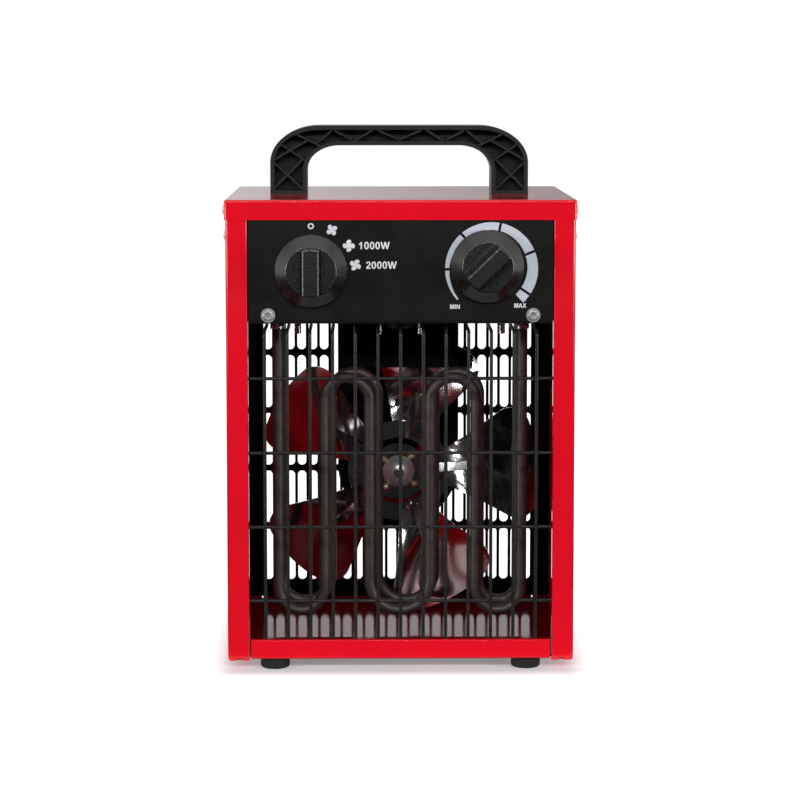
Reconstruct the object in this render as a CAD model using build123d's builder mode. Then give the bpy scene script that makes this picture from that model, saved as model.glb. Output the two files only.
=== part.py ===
from build123d import *
import math
import os

os.makedirs("parts", exist_ok=True)

# Case, measured over its folded panels
case_width = 200.0
case_depth = 165.0
case_height = 266.8
case_lift = 6.1
sheet = 0.8
bend = 2.0
flange = 12.6
hem_depth = 6.0
hem_bend = 1.0
seam = 0.9
slide_gap = 0.3
overrun = 2.0

# Relief notch at the foot of each side panel's front edge
notch_width = 3.5
notch_height = 1.4
notch_inset = 5.2

# Cover
cover_sheet = 0.7
cover_skirt = 11.5
cover_round = 1.4

# Floor panel
lip_height = 12.6
lip_bend = 1.4

# Slots of the rear panel
slot_columns = 24
slot_rows = 5
slot_side_gap = 13.6
slot_bridge = 1.8
slot_length = 33.6
slot_step = 37.3
slot_base = 19.6
joined_column = 6
rear_corner = 2.0

# Control panel
panel_face = 59.4
panel_sheet = 1.0
panel_return = 9.0
panel_bend = 2.0
panel_clear = 0.5

# Deck between the control space and the air duct
deck_front_lip = 11.0
deck_rear_lip = 15.0
deck_ear_width = 14.0
deck_ear_height = 54.0
deck_bend = 1.5

# Grille of round wire
wire = 2.0
wire_weld = 0.3
grille_columns = 13
grille_side_gap = 9.4
grille_rows = 4
cross_wire_step = 43.2
cross_wire_base = 40.5
grille_depth = 2.4
grille_crown_drop = 4.5
grille_return = 36.0
wire_bend = 3.0
wire_tuck = 3.0
wire_clear = 0.2

# Heating elements: tubes bent to and fro across the duct
element_radius = 3.25
element_low = 26.5
element_crest_gap = 37.2
element_tail = 15.0
element_spacing = 27.4
blade_room = 30.0
front_leg_shares = [-0.72, -0.45, -0.18, 0.18, 0.45, 0.72]
rear_leg_shares = [-0.72, -0.41, -0.13, 0.21, 0.48, 0.72]

# Sleeve and nut that hold each tube end in the deck
sleeve_wall = 0.95
sleeve_drop = 8.0
sleeve_rise = 7.0
sleeve_flange = 2.2
sleeve_flange_height = 1.0
sleeve_nut_width = 12.0
sleeve_nut_height = 4.0
sleeve_fit = 0.05
terminal_radius = 1.5
terminal_rise = 11.0
terminal_collar = 1.2

# Ceramic connectors and the bolts that hang under the deck
connector_inset = 12.0
connector_width = 9.0
connector_depth = 12.0
connector_height = 12.0
hanging_bolt_radius = 2.0
hanging_bolt_drop = 11.0
hanging_nut_width = 7.0
hanging_nut_height = 3.2

# Thermal cut-out under the deck
cutout_radius = 7.8
cutout_drop = 8.5
cutout_rise = 6.0
cutout_neck = 5.5
cutout_depth = 50.0
cutout_clamp_sheet = 0.8
cutout_screw_spread = 12.0
cutout_clamp_margin = 4.0
cutout_blade_width = 6.3
cutout_blade_rise = 7.0
cutout_blade_gap = 5.0
small_bolt_radius = 1.5
small_bolt_drop = 12.0
small_nut_width = 5.5
small_nut_height = 2.4

# Fan
fan_height = 101.0
fan_depth = 100.0
fan_clear = 7.3
blade_count = 5
blade_first_angle = 4.0
blade_sheet = 1.0
blade_root_radius = 20.0
blade_root_chord = 18.0
blade_neck_twist = 14.0
blade_waist_twist = 25.0
blade_tip_twist = 26.0
blade_half_angle = 25.5
blade_waist_half_angle = 22.5
blade_root_half_angle = 19.0
blade_span_share = 0.35
blade_neck_share = 0.4
blade_waist_share = 0.58
blade_neck_chord_share = 0.35
blade_waist_chord_share = 0.58
blade_tip_chord_share = 1.07
blade_corner_share = 0.14
spider_radius = 31.0
spider_sheet = 1.2
step_radius = 20.5
plateau_radius = 17.3
plateau_rise = 3.0
rib_width = 7.0
rib_height = 0.9
rib_taper = 25.0
rib_centre_share = 0.42
rib_length_share = 0.35
hub_radius = 9.0
hub_flange_radius = 15.8
hub_flange = 1.6
hub_length = 11.0
rivet_circle = 12.6
rivet_radius = 1.2
rivet_head_radius = 2.4
rivet_head_height = 1.6
rivet_count = 4
rivet_first_angle = 51.0
fan_cap_radius = 9.8
fan_cap_height = 6.2

# Shield that hangs before the fan
shield_room = 23.0
shield_half_width = 35.0
shield_drop = 35.4
shield_flange = 12.0

# Motor
shaft_radius = 3.0
running_gap = 0.05
shaft_nose = 1.2
bracket_gap = 22.0
bracket_sheet = 1.2
bracket_half_width = 37.5
bracket_flange = 22.0
bracket_bend = 2.4
bracket_bolt_spread = 22.0
bracket_hole_radius = 9.5
motor_radius = 36.8
motor_wall = 1.0
motor_cover_sheet = 1.5
motor_gap = 6.5
motor_screw_circle = 30.0
motor_screw_count = 3
bearing_radius = 5.0
bearing_length_share = 0.212
bearing_wall = 2.0
stator_length_share = 0.5625
stator_inset = 0.2
air_gap = 0.5
rotor_radius = 17.5
winding_length_share = 0.156
winding_inner_margin = 3.0
winding_outer_margin = 3.0
motor_vent_count = 6
motor_vent_radius = 4.0
motor_vent_circle = 24.0

# Knobs and the controls behind the panel
selector_inset = 49.0
selector_drop = 40.4
thermostat_inset = 50.6
thermostat_drop = 37.9
knob_proud = 21.0
knob_gap = 0.6
knob_radius = 20.75
knob_rim = 2.6
knob_top_radius = 14.35
knob_cone = 6.4
knob_wall = 2.2
grip_width = 9.8
grip_length = 28.0
grip_round = 1.2
ridge_gap = 1.1
ridge_width = 1.1
ridge_length = 24.0
ridge_height = 3.0
knob_bore_depth = 13.0
knob_post_radius = 5.2
control_shaft_radius = 3.0
shaft_flat = 1.2
shaft_fit = 0.04
shaft_seat = 12.0
bush_radius = 4.8
bush_clear = 0.2
thermostat_turn = 46.0
switch_width = 34.0
switch_depth = 25.0
switch_tab_width = 6.3
switch_tab_height = 8.0
switch_tab_sheet = 0.8
switch_tab_count = 4
switch_tab_pitch = 7.5
thermostat_width = 30.0
thermostat_corner = 2.0
thermostat_depth = 14.0
thermostat_blade_length = 26.0
thermostat_blade_width = 8.0
thermostat_blade_sheet = 0.6
thermostat_post = 4.0
control_screw_spread = 14.0

# Panel screws with their washers
panel_screw_inset = 24.3
panel_screw_height = 5.0
panel_screw_head = 4.1
panel_screw_rise = 2.4
panel_screw_flange = 0.8
panel_screw_crown = 2.9
panel_screw_round = 0.6
panel_recess_width = 3.0
panel_recess_depth = 1.2
panel_screw_radius = 1.9
panel_screw_length = 10.0

# Screws of the case
case_screw_head = 3.4
case_screw_rise = 1.9
case_screw_radius = 1.8
case_screw_length = 7.0
case_screw_depth = 12.0
cover_screw_drop = 6.2
side_screw_drop = 20.9
hole_clear = 0.2
side_rivet_height = 117.4
side_rivet_depth = 12.0
side_rivet_head = 3.2
side_rivet_rise = 0.6
rear_screw_inset = 6.3
rear_screw_rows = 3
rear_screw_pitch = 107.0
rear_screw_base = 24.0

# Sides of every nut, bolt head and panel screw recess
hex_sides = 6

# Recess of every cross-head screw, as shares of its head
recess_reach_share = 0.55
recess_slot_share = 0.2
recess_depth_share = 0.45

# Small screw for inner pieces
small_screw_head = 2.8
small_screw_rise = 1.3
small_screw_radius = 1.45
small_screw_length = 5.0

# Handle
handle_width = 153.6
handle_height = 40.5
handle_depth = 27.0
handle_leg = 21.9
handle_bar = 11.7
handle_corner_width = 29.0
handle_corner_height = 22.0
handle_inner_corner_width = 19.5
handle_inner_corner_height = 15.0
handle_rim = 2.5
handle_base_wall = 2.0
handle_web = 6.0
handle_rib = 1.2
handle_rib_recess = 0.9
handle_screw_length = 16.0
handle_screw_head = 4.0
handle_screw_rise = 2.4
handle_screw_radius = 2.0

# Feet
foot_side_inset = 27.0
foot_inset = 12.0
foot_radius = 8.5
foot_round = 1.6
foot_recess_radius = 4.6
foot_recess_depth = 3.4
foot_screw_head = 3.6
foot_screw_rise = 2.0
foot_screw_length = 8.0

# Cable gland in the rear panel, and the block behind it
gland_inset = 38.0
gland_drop = 40.8
gland_proud = 10.8
gland_radius = 10.5
gland_neck_radius = 8.0
gland_bore_radius = 4.5
gland_neck_length = 7.2
gland_nut_width = 22.0
gland_nut_height = 4.0
gland_round = 1.5
block_width = 34.0
block_depth = 18.0
block_height = 16.0
block_gap = 16.0
block_poles = 3
block_screw_radius = 2.2
block_screw_height = 5.0

# Places: the front face is at front_y, the floor at zero, and the box's centre over the origin
front_y = -(case_depth - sheet + gland_proud - knob_proud) / 2
rear_y = front_y + case_depth
mid_y = (front_y + rear_y) / 2
base_z = case_lift
top_z = base_z + case_height
side_x = case_width / 2
inner_x = side_x - sheet
door_x = side_x - flange
door_half = door_x - seam
floor_z = base_z + sheet
lip_z = floor_z + lip_height - sheet
skirt_z = top_z - cover_skirt
panel_z = skirt_z - panel_face
panel_top_z = top_z - cover_round
side_top_z = top_z - cover_round
deck_z = panel_z + panel_sheet
deck_top_z = deck_z + sheet
rear_inner_y = rear_y - sheet
rear_skin_y = rear_inner_y - sheet
selector_x = selector_inset - side_x
selector_z = top_z - selector_drop
thermostat_x = side_x - thermostat_inset
thermostat_z = top_z - thermostat_drop
panel_screw_x = side_x - panel_screw_inset
gland_x = gland_inset - side_x
foot_x = side_x - foot_side_inset
slot_pitch = 2 * (side_x - slot_side_gap) / slot_columns
slot_width = slot_pitch - slot_bridge
fan_y = front_y + fan_depth
fan_radius = min(inner_x, fan_height - floor_z - sheet, deck_z - fan_height) - fan_clear
rear_element_y = fan_y - blade_room
front_element_y = rear_element_y - element_spacing
front_element_legs = [side_x * share for share in front_leg_shares]
rear_element_legs = [side_x * share for share in rear_leg_shares]
element_high = deck_z - element_crest_gap
bracket_y = fan_y + bracket_gap
motor_front_y = bracket_y + bracket_sheet
can_front_y = motor_front_y + motor_cover_sheet
motor_back_y = rear_inner_y - motor_gap
motor_length = motor_back_y - can_front_y
bearing_length = motor_length * bearing_length_share
stator_length = (motor_length - motor_wall) * stator_length_share
winding_length = (motor_length - motor_wall) * winding_length_share
wire_y = front_y + grille_depth
cross_y = wire_y + wire - wire_weld
grille_pitch = 2 * (door_x - grille_side_gap) / (grille_columns - 1)
wire_xs = [(column - (grille_columns - 1) / 2) * grille_pitch for column in range(grille_columns)]
cross_zs = [cross_wire_base + row * cross_wire_step for row in range(grille_rows)]
wire_hole = wire / 2 + wire_clear


def facing(y, x=0, z=0):
    """The upright plane at depth y that looks to the front, with X to the right and Z up."""
    return Plane(origin=(x, y, z), x_dir=(1, 0, 0), z_dir=(0, -1, 0))


def looking(x, y, z, direction):
    """The place of a screw whose head looks in the direction given."""
    return Plane(origin=(x, y, z), z_dir=direction).location


def dome_middle(radius, height):
    """The middle point of the arc from a dome's edge to its top."""
    sphere = (radius * radius + height * height) / (2 * height)
    half = math.asin(min(1, radius / sphere)) / 2
    return sphere * math.sin(half), height - sphere + sphere * math.cos(half)


def folded_line(points, radius, thickness):
    """The closed outline of a folded sheet whose outer face runs through the points."""
    FilletPolyline(*points, radius=radius)
    offset(amount=thickness, side=Side.LEFT)


def screw(head_radius, head_height, shank_radius, shank_length):
    """A domed cross-head screw: its head stands on the origin and its shank points down."""
    with BuildPart() as made:
        with BuildSketch(Plane.XZ):
            with BuildLine():
                Polyline(
                    (0, head_height),
                    (0, -shank_length),
                    (shank_radius, -shank_length),
                    (shank_radius, 0),
                    (head_radius, 0),
                )
                middle = dome_middle(head_radius, head_height)
                ThreePointArc((head_radius, 0), middle, (0, head_height))
            make_face()
        revolve(axis=Axis.Z)
        with BuildSketch(Plane.XY.offset(head_height)):
            reach = 2 * head_radius * recess_reach_share
            slot = head_radius * recess_slot_share
            Rectangle(reach, slot)
            Rectangle(slot, reach)
        extrude(amount=-head_height * recess_depth_share, mode=Mode.SUBTRACT)
    return made.part


def hex_nut(width, height, bore):
    """A hexagonal nut that stands on the origin."""
    with BuildPart() as made:
        with BuildSketch():
            RegularPolygon(width / 2, hex_sides, major_radius=False)
            Circle(bore, mode=Mode.SUBTRACT)
        extrude(amount=height)
    return made.part


def bolt(head_width, head_height, radius, length):
    """A hexagon-head bolt: its head stands on the origin and its shank points down."""
    with BuildPart() as made:
        with BuildSketch():
            RegularPolygon(head_width / 2, hex_sides, major_radius=False)
        extrude(amount=head_height)
        with BuildSketch():
            Circle(radius)
        extrude(amount=-length)
    return made.part


def save(piece, name):
    """Labels a finished piece and writes it."""
    piece.part.label = name
    export_step(piece.part, f"parts/{name}.step")


def save_group(name, blank, places):
    """Writes copies of one blank, each at its own place, as one group of solids."""
    with BuildPart() as group:
        for place in places:
            add(blank.moved(place))
    save(group, name)


case_screw = screw(case_screw_head, case_screw_rise, case_screw_radius, case_screw_length)
screw_ys = [front_y + case_screw_depth, rear_y - case_screw_depth]
cover_screw_z = top_z - cover_screw_drop
side_screw_z = top_z - side_screw_drop
case_hole = case_screw_radius + hole_clear

# Side panels, each folded in at the front, the rear and the bottom
with BuildPart() as side_panel_left:
    with BuildSketch(Plane.XY.offset(base_z)):
        with Locations((flange / 2 - side_x, mid_y)):
            Rectangle(flange, case_depth)
    extrude(amount=side_top_z - base_z)
    uprights = side_panel_left.edges().filter_by(Axis.Z).group_by(Axis.X)[0]
    sill = side_panel_left.edges().filter_by(Axis.Y).group_by(Axis.X)[0].sort_by(Axis.Z)[0]
    fillet([*uprights, sill], radius=bend)
    open_faces = [side_panel_left.faces().sort_by(Axis.X)[-1]]
    open_faces.append(side_panel_left.faces().sort_by(Axis.Z)[-1])
    offset(amount=-sheet, openings=open_faces)
    with BuildSketch(Plane.XY.offset(base_z)):
        with Locations((-door_x - sheet / 2, front_y + hem_depth / 2)):
            Rectangle(sheet, hem_depth)
    extrude(amount=side_top_z - base_z)
    corner = (-door_x, front_y, (base_z + side_top_z) / 2)
    fillet(side_panel_left.edges().filter_by(Axis.Z).sort_by_distance(corner)[0], radius=hem_bend)
    with BuildSketch(Plane.XY.offset(base_z - overrun)):
        with Locations((notch_inset + notch_width / 2 - side_x, front_y)):
            Rectangle(notch_width, 2 * bend)
    extrude(amount=overrun + notch_height, mode=Mode.SUBTRACT)
    with BuildSketch(Plane.YZ.offset(-door_x)):
        with Locations(*[(cross_y, z) for z in cross_zs]):
            Circle(wire_hole)
    extrude(amount=-sheet, mode=Mode.SUBTRACT)
    with BuildSketch(Plane.YZ.offset(-side_x - overrun)):
        with Locations(*[(y, z) for y in screw_ys for z in (cover_screw_z, side_screw_z)]):
            Circle(case_hole)
    extrude(amount=2 * overrun, mode=Mode.SUBTRACT)
    rear_screw_x = side_x - rear_screw_inset
    rear_screw_z = base_z + rear_screw_base
    rear_screw_zs = [rear_screw_z + row * rear_screw_pitch for row in range(rear_screw_rows)]
    with BuildSketch(facing(rear_y)):
        with Locations(*[(-rear_screw_x, z) for z in rear_screw_zs]):
            Circle(case_hole)
    extrude(amount=2 * sheet + overrun, mode=Mode.SUBTRACT)
save(side_panel_left, "side_panel_left")

side_rivet_z = base_z + side_rivet_height
side_rivet_y = front_y + side_rivet_depth
with BuildPart() as side_panel_right:
    mirror(side_panel_left.part, about=Plane.YZ)
    with BuildSketch(Plane.YZ.offset(side_x - overrun)):
        with Locations((side_rivet_y, side_rivet_z)):
            Circle(rivet_radius)
    extrude(amount=2 * overrun, mode=Mode.SUBTRACT)
save(side_panel_right, "side_panel_right")

# Cover that closes the top and laps over all four sides
with BuildPart() as top_cover:
    with BuildSketch(Plane.XY.offset(skirt_z)):
        with Locations((0, mid_y)):
            Rectangle(case_width + 2 * cover_sheet, case_depth + 2 * cover_sheet)
    extrude(amount=cover_skirt)
    fillet(top_cover.edges().filter_by(Axis.Z), radius=bend)
    fillet(top_cover.edges().group_by(Axis.Z)[-1], radius=cover_round)
    offset(amount=-cover_sheet, openings=[top_cover.faces().sort_by(Axis.Z)[0]])
    with BuildSketch(Plane.YZ.offset(-side_x - overrun)):
        with Locations(*[(y, cover_screw_z) for y in screw_ys]):
            Circle(case_hole)
    extrude(amount=2 * (side_x + overrun), mode=Mode.SUBTRACT)
    handle_leg_x = (handle_width - handle_leg) / 2
    with BuildSketch(Plane.XY.offset(top_z)):
        with Locations((-handle_leg_x, mid_y), (handle_leg_x, mid_y)):
            Circle(handle_screw_radius + hole_clear)
    extrude(amount=-2 * cover_sheet, mode=Mode.SUBTRACT)
save(top_cover, "top_cover")

# Floor panel: a plain floor on the side panels' feet, with a hemmed lip at the front
with BuildPart() as bottom_panel:
    floor_front = front_y + hem_depth + slide_gap
    floor_back = rear_inner_y - slide_gap
    floor_half = inner_x - bend
    foot_ys = [front_y + foot_inset, rear_y - foot_inset]
    foot_places = [(x, y) for y in foot_ys for x in (-foot_x, foot_x)]
    with BuildSketch(Plane.XY.offset(floor_z)):
        with Locations((0, (floor_front + floor_back) / 2)):
            Rectangle(2 * floor_half, floor_back - floor_front)
    extrude(amount=sheet)
    with BuildSketch(Plane.YZ):
        with BuildLine():
            lip_points = [
                (front_y + hem_depth, lip_z),
                (front_y, lip_z),
                (front_y, floor_z),
                (floor_front + sheet, floor_z),
            ]
            folded_line(lip_points, lip_bend, sheet)
        make_face()
    extrude(amount=door_half, both=True)
    with BuildSketch(Plane.YZ):
        with BuildLine():
            back_points = [
                (floor_back - lip_height, floor_z),
                (rear_y, floor_z),
                (rear_y, lip_z),
            ]
            folded_line(back_points, lip_bend, sheet)
        make_face()
    extrude(amount=door_half, both=True)
    with BuildSketch(Plane.XY.offset(floor_z)):
        with Locations(*foot_places):
            Circle(case_hole)
    extrude(amount=sheet, mode=Mode.SUBTRACT)
    with BuildSketch(Plane.XY.offset(lip_z)):
        with Locations(*[(x, wire_y) for x in wire_xs]):
            Circle(wire_hole)
    extrude(amount=-wire_tuck, mode=Mode.SUBTRACT)
save(bottom_panel, "bottom_panel")

# Rear panel with its grid of air slots and the hole for the cable gland
with BuildPart() as rear_panel:
    rear_half = side_x - bend - slide_gap
    rear_bottom = floor_z + lip_bend + slide_gap
    rear_top = side_top_z
    gland_z = top_z - gland_drop
    with BuildSketch(facing(rear_skin_y, 0, (rear_bottom + rear_top) / 2)):
        RectangleRounded(2 * rear_half, rear_top - rear_bottom, rear_corner)
    extrude(amount=-sheet)
    row_middle = slot_base + slot_length / 2
    slots_z = row_middle + (slot_rows - 1) * slot_step / 2
    joined_x = (joined_column - (slot_columns - 1) / 2) * slot_pitch
    joined_z = slots_z + (slot_rows / 2 - 1) * slot_step
    with BuildSketch(facing(rear_skin_y)):
        with Locations((0, slots_z)):
            with GridLocations(slot_pitch, slot_step, slot_columns, slot_rows):
                SlotOverall(slot_length, slot_width, rotation=90)
        with Locations((joined_x, joined_z)):
            Rectangle(slot_width, slot_length)
        with Locations(*[(x, z) for x in (-rear_screw_x, rear_screw_x) for z in rear_screw_zs]):
            Circle(case_hole)
        with Locations((gland_x, gland_z)):
            Circle(gland_neck_radius + hole_clear)
    extrude(amount=-sheet, mode=Mode.SUBTRACT)
save(rear_panel, "rear_panel")

# Control panel
panel_screw_z = panel_z + panel_screw_height
control_places = [(selector_x, selector_z), (thermostat_x, thermostat_z)]
control_screw_rises = (-control_screw_spread, control_screw_spread)
control_screw_places = [(x, z + rise) for x, z in control_places for rise in control_screw_rises]
panel_screw_places = [(-panel_screw_x, panel_screw_z), (panel_screw_x, panel_screw_z)]
with BuildPart() as control_panel:
    with BuildSketch(Plane.YZ):
        with BuildLine():
            panel_points = [
                (front_y, panel_top_z),
                (front_y, panel_z),
                (front_y + panel_return, panel_z),
            ]
            folded_line(panel_points, panel_bend, panel_sheet)
        make_face()
    extrude(amount=door_x - panel_clear, both=True)
    with BuildSketch(facing(front_y)):
        with Locations(*control_places):
            Circle(bush_radius + bush_clear)
        with Locations(*panel_screw_places):
            Circle(panel_screw_radius + hole_clear)
        with Locations(*control_screw_places):
            Circle(small_screw_radius + hole_clear)
    extrude(amount=-panel_sheet, mode=Mode.SUBTRACT)
save(control_panel, "control_panel")

# Deck under the controls: a tray that carries the elements, the cut-out and the motor
element_ends = [
    (front_element_legs[0], front_element_y),
    (front_element_legs[-1], front_element_y),
    (rear_element_legs[0], rear_element_y),
    (rear_element_legs[-1], rear_element_y),
]
sleeve_radius = element_radius + sleeve_wall
cutout_y = front_y + cutout_depth
bracket_bolt_y = motor_front_y + bracket_flange / 2
connector_x = front_element_legs[-1] - connector_inset
connector_places = [(-connector_x, front_element_y), (connector_x, front_element_y)]
cutout_screw_places = [(-cutout_screw_spread, cutout_y), (cutout_screw_spread, cutout_y)]
shield_y = fan_y - shield_room
shield_bolt_y = shield_y + shield_flange / 2
bolt_ys = (bracket_bolt_y, shield_bolt_y)
bracket_bolt_places = [(x, y) for y in bolt_ys for x in (-bracket_bolt_spread, bracket_bolt_spread)]
with BuildPart() as deck:
    deck_front = front_y + panel_sheet
    with BuildSketch(Plane.YZ):
        with BuildLine():
            deck_points = [
                (deck_front, deck_z + deck_front_lip),
                (deck_front, deck_z),
                (rear_skin_y, deck_z),
                (rear_skin_y, deck_z + deck_rear_lip),
            ]
            folded_line(deck_points, deck_bend, sheet)
        make_face()
    extrude(amount=door_x - panel_clear, both=True)
    wing_front = front_y + hem_depth + slide_gap
    wing_back = rear_inner_y - bend - slide_gap
    with BuildSketch(Plane.XY.offset(deck_z)):
        with Locations((0, (wing_front + wing_back) / 2)):
            Rectangle(2 * inner_x, wing_back - wing_front)
    extrude(amount=sheet)
    ear_x = inner_x - sheet / 2
    with BuildSketch(Plane.XY.offset(deck_z)):
        front_ear_y = wing_front + deck_ear_width / 2
        rear_ear_y = wing_back - deck_ear_width / 2
        with Locations(*[(x, y) for x in (-ear_x, ear_x) for y in (front_ear_y, rear_ear_y)]):
            Rectangle(sheet, deck_ear_width)
    extrude(amount=deck_ear_height)
    with BuildSketch(Plane.YZ.offset(-side_x)):
        with Locations(*[(y, side_screw_z) for y in screw_ys]):
            Circle(case_hole)
    extrude(amount=2 * side_x, mode=Mode.SUBTRACT)
    with BuildSketch(Plane.XY.offset(deck_z)):
        with Locations(*element_ends):
            Circle(sleeve_radius + hole_clear)
        with Locations(*connector_places, *bracket_bolt_places):
            Circle(hanging_bolt_radius + hole_clear)
        with Locations(*cutout_screw_places):
            Circle(small_bolt_radius + hole_clear)
        with Locations((0, cutout_y)):
            Circle(cutout_neck + hole_clear)
    extrude(amount=sheet, mode=Mode.SUBTRACT)
    with BuildSketch(facing(deck_front)):
        with Locations(*panel_screw_places):
            Circle(panel_screw_radius + hole_clear)
    extrude(amount=-sheet, mode=Mode.SUBTRACT)
save(deck, "deck")

# Grille: upright wires that turn back under the panel, welded to cross wires behind them.
# The uprights stand in holes of the floor panel's lip, and the cross wires end in the side panels.
grille_foot = lip_z - wire_tuck
grille_crown = panel_z - grille_crown_drop
with BuildPart() as upright_wire:
    with BuildSketch(Plane.XY.offset(grille_foot)):
        with Locations((0, wire_y)):
            Circle(wire / 2)
    with BuildLine(Plane.YZ):
        wire_points = [
            (wire_y, grille_foot),
            (wire_y, grille_crown),
            (wire_y + grille_return, grille_crown),
        ]
        FilletPolyline(*wire_points, radius=wire_bend)
    sweep()
with BuildPart() as front_grille:
    for x in wire_xs:
        add(upright_wire.part.moved(Location((x, 0, 0))))
    cross_half = door_x + wire_tuck
    with BuildSketch(Plane.YZ.offset(-cross_half)):
        with Locations(*[(cross_y, z) for z in cross_zs]):
            Circle(wire / 2)
    extrude(amount=2 * cross_half)
save(front_grille, "front_grille")


def heating_element(legs, y, name):
    """A round tube that runs down and up between its legs, with both ends through the deck."""
    with BuildPart() as element:
        end_level = deck_top_z + element_tail
        with BuildLine(facing(y)) as path:
            level = end_level
            for turn, (start, stop) in enumerate(zip(legs, legs[1:])):
                radius = (stop - start) / 2
                at_bottom = turn % 2 == 0
                next_level = element_low + radius if at_bottom else element_high - radius
                crest = element_low if at_bottom else element_high
                Line((start, level), (start, next_level))
                ThreePointArc((start, next_level), ((start + stop) / 2, crest), (stop, next_level))
                level = next_level
            Line((legs[-1], level), (legs[-1], end_level))
        with BuildSketch(Plane(origin=(legs[0], y, end_level), z_dir=(0, 0, -1))):
            Circle(element_radius)
        sweep(path=path.line)
    save(element, name)


heating_element(front_element_legs, front_element_y, "front_element")
heating_element(rear_element_legs, rear_element_y, "rear_element")

# Sleeve, nut and terminal at each tube end
with BuildPart() as sleeve:
    with BuildSketch(Plane.XY.offset(deck_z)):
        Circle(sleeve_radius)
    extrude(amount=-sleeve_drop)
    with BuildSketch(Plane.XY.offset(deck_z)):
        Circle(sleeve_radius)
    extrude(amount=sleeve_rise)
    with BuildSketch(Plane.XY.offset(deck_z)):
        Circle(element_radius + sleeve_flange)
    extrude(amount=-sleeve_flange_height)
    with BuildSketch(Plane.XY.offset(deck_z - sleeve_drop)):
        Circle(element_radius + sleeve_fit)
    extrude(amount=sleeve_drop + sleeve_rise, mode=Mode.SUBTRACT)
save_group("element_sleeves", sleeve.part, [Location((x, y, 0)) for x, y in element_ends])

sleeve_nut = hex_nut(sleeve_nut_width, sleeve_nut_height, sleeve_radius + sleeve_fit)
save_group("element_nuts", sleeve_nut, [Location((x, y, deck_top_z)) for x, y in element_ends])

with BuildPart() as terminal:
    with BuildSketch(Plane.XY.offset(deck_top_z + element_tail)):
        Circle(element_radius - terminal_collar / 2)
    extrude(amount=terminal_collar)
    with BuildSketch(Plane.XY.offset(deck_top_z + element_tail)):
        Circle(terminal_radius)
    extrude(amount=terminal_rise)
save_group("element_terminals", terminal.part, [Location((x, y, 0)) for x, y in element_ends])

# Ceramic connectors on the deck, with bolts that hang below it
with BuildPart() as connector:
    with BuildSketch(Plane.XY.offset(deck_top_z)):
        Rectangle(connector_width, connector_depth)
        Circle(hanging_bolt_radius + hole_clear, mode=Mode.SUBTRACT)
    extrude(amount=connector_height)
save_group("element_connectors", connector.part, [Location((x, y, 0)) for x, y in connector_places])

connector_top_z = deck_top_z + connector_height
connector_bolt_length = connector_top_z - deck_z + hanging_bolt_drop
connector_bolt = bolt(hanging_nut_width, hanging_nut_height, hanging_bolt_radius, connector_bolt_length)
connector_bolt_places = [Location((x, y, connector_top_z)) for x, y in connector_places]
save_group("connector_bolts", connector_bolt, connector_bolt_places)
hanging_nut = hex_nut(hanging_nut_width, hanging_nut_height, hanging_bolt_radius + sleeve_fit)
hanging_nut_z = deck_z - hanging_nut_height
connector_nut_places = [Location((x, y, hanging_nut_z)) for x, y in connector_places]
save_group("connector_nuts", hanging_nut, connector_nut_places)

# Thermal cut-out: a disc under the deck, held from above by a strap and two screws
with BuildPart() as thermal_cutout:
    with BuildSketch(Plane.XY.offset(deck_z)):
        with Locations((0, cutout_y)):
            Circle(cutout_radius)
    extrude(amount=-cutout_drop)
    with BuildSketch(Plane.XY.offset(deck_z)):
        with Locations((0, cutout_y)):
            Circle(cutout_neck)
    extrude(amount=cutout_rise)
    with BuildSketch(Plane.XY.offset(deck_z + cutout_rise)):
        with Locations((-cutout_blade_gap / 2, cutout_y), (cutout_blade_gap / 2, cutout_y)):
            Rectangle(switch_tab_sheet, cutout_blade_width)
    extrude(amount=cutout_blade_rise)
    fillet(thermal_cutout.edges().group_by(Axis.Z)[0], radius=hem_bend)
save(thermal_cutout, "thermal_cutout")

strap_length = 2 * (cutout_screw_spread + cutout_clamp_margin)
strap_width = 2 * (cutout_neck + cutout_clamp_margin)
with BuildPart() as cutout_strap:
    with BuildSketch(Plane.XY.offset(deck_top_z)):
        with Locations((0, cutout_y)):
            SlotOverall(strap_length, strap_width)
            Circle(cutout_neck + hole_clear, mode=Mode.SUBTRACT)
        with Locations(*cutout_screw_places):
            Circle(small_bolt_radius + hole_clear, mode=Mode.SUBTRACT)
    extrude(amount=cutout_clamp_sheet)
save(cutout_strap, "cutout_strap")

strap_top_z = deck_top_z + cutout_clamp_sheet
cutout_screw_length = strap_top_z - deck_z + small_bolt_drop
cutout_screw = screw(small_screw_head, small_screw_rise, small_bolt_radius, cutout_screw_length)
save_group("cutout_screws", cutout_screw, [Location((x, y, strap_top_z)) for x, y in cutout_screw_places])
cutout_nut = hex_nut(small_nut_width, small_nut_height, small_bolt_radius + sleeve_fit)
cutout_nut_z = deck_z - small_nut_height
save_group("cutout_nuts", cutout_nut, [Location((x, y, cutout_nut_z)) for x, y in cutout_screw_places])

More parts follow.
